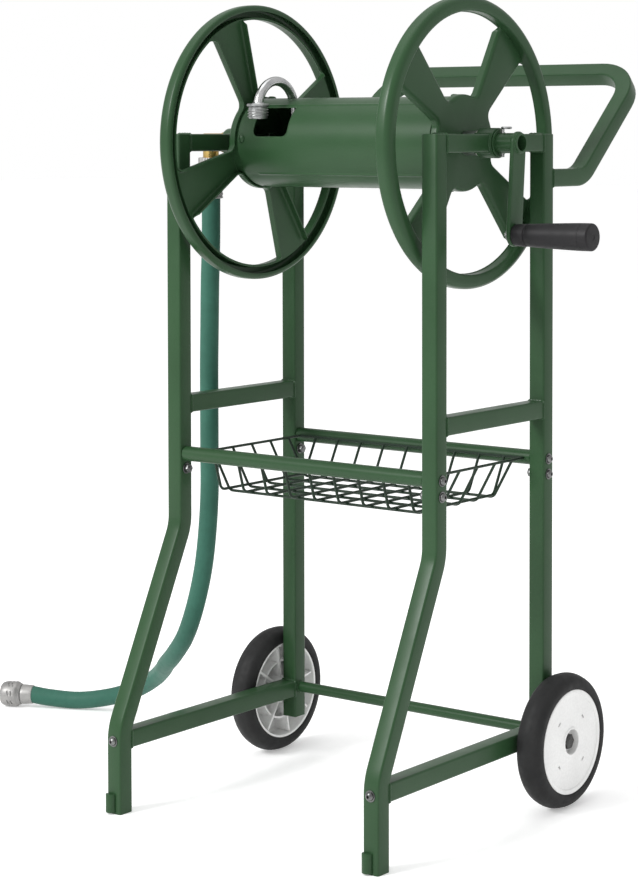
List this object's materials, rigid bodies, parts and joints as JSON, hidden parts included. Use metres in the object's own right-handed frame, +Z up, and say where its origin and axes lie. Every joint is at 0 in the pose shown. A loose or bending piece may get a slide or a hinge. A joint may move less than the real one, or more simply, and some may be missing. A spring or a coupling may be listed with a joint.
{
  "type": "garden hose reel cart",
  "caption": "Upright garden hose reel cart: square-tube frame on two wheels, spoked reel with crank, wire basket, push handle and leader hose.",
  "frame": {"origin": "on the ground, under the middle of the cart's footprint, leader hose left out", "axes": "+Z up, +X towards the crank, +Y towards the wheels and the push handle, -Y towards the feet"},
  "size_m": [1.0685, 0.6104, 1.0088],
  "materials": {
    "green_paint": "semi-gloss powder coat",
    "basket_paint": "dark green powder coat",
    "zinc": "bright zinc plate",
    "chrome_pipe": "polished tube",
    "hose_fitting": "machined, nickel plated",
    "brass": "machined brass",
    "nylon": "natural nylon",
    "white_plastic": "moulded, satin gloss",
    "tyre": "solid rubber",
    "black_plastic": "moulded, fine texture",
    "seal_rubber": "smooth",
    "hose": "smooth extruded hose skin"
  },
  "bodies": {
    "frame": {"left_front_leg": "green_paint", "right_front_leg": "green_paint", "left_rear_leg": "green_paint", "right_rear_leg": "green_paint", "left_top_rail": "green_paint", "right_top_rail": "green_paint", "left_mid_rail": "green_paint", "right_mid_rail": "green_paint", "left_bottom_rail": "green_paint", "right_bottom_rail": "green_paint", "front_tie_bar": "green_paint", "rear_tie_bar": "green_paint", "lower_tie_rod": "green_paint", "handle": "green_paint", "foot_tabs": "green_paint", "tube_plugs": "black_plastic", "rail_inserts": "zinc", "axle_blocks": "zinc", "bolt_spacers": "zinc", "tie_bolts": "zinc", "leg_bolts": "zinc", "leg_nuts": "zinc", "foot_bolts": "zinc", "wire_basket": "basket_paint", "left_bearing_housing": "green_paint", "right_bearing_housing": "green_paint", "left_bearing_bush": "nylon", "right_bearing_bush": "nylon", "axle_bolts": "zinc", "axle_washers": "zinc", "inlet_swivel": "brass", "hose_top_coupling": "hose_fitting", "leader_hose": "hose", "hose_end_ferrule": "hose_fitting"},
    "left_wheel": {"left_tyre": "tyre", "left_rim": "white_plastic", "left_wheel_bush": "nylon"},
    "right_wheel": {"right_tyre": "tyre", "right_rim": "white_plastic", "right_wheel_bush": "nylon"},
    "reel": {"drum_shell": "green_paint", "left_disc": "green_paint", "right_disc": "green_paint", "drum_screws": "green_paint", "crank_shaft": "green_paint", "inlet_shaft": "zinc", "shaft_spacers": "zinc", "shaft_washer": "green_paint", "hitch_pin": "zinc", "inlet_stem": "brass", "stem_o_rings": "seal_rubber", "water_pipe": "chrome_pipe", "outlet_fitting": "zinc", "crank_arm": "green_paint", "grip_stud": "zinc", "grip_nut": "zinc"},
    "grip": {"crank_grip": "black_plastic", "grip_cap": "black_plastic"},
    "hose_nut": {"hose_end_coupling": "hose_fitting"}
  },
  "joints": [
    {"name": "reel_turn", "type": "hinge", "parent": "frame", "child": "reel", "pos_m": [-0.04595, -0.0595, 0.8311], "axis": [1, 0, 0], "continuous": true},
    {"name": "grip_spin", "type": "hinge", "parent": "reel", "child": "grip", "pos_m": [0.25205, -0.06813, 0.72144], "axis": [1, 0, 0], "continuous": true},
    {"name": "left_wheel_spin", "type": "hinge", "parent": "frame", "child": "left_wheel", "pos_m": [-0.27675, 0.0551, 0.084], "axis": [1, 0, 0], "continuous": true},
    {"name": "right_wheel_spin", "type": "hinge", "parent": "frame", "child": "right_wheel", "pos_m": [0.18485, 0.0551, 0.084], "axis": [1, 0, 0], "continuous": true},
    {"name": "hose_nut_spin", "type": "hinge", "parent": "frame", "child": "hose_nut", "pos_m": [-0.73216, 0.01123, 0.0184], "axis": [-0.9, -0.436, 0], "continuous": true}
  ]
}
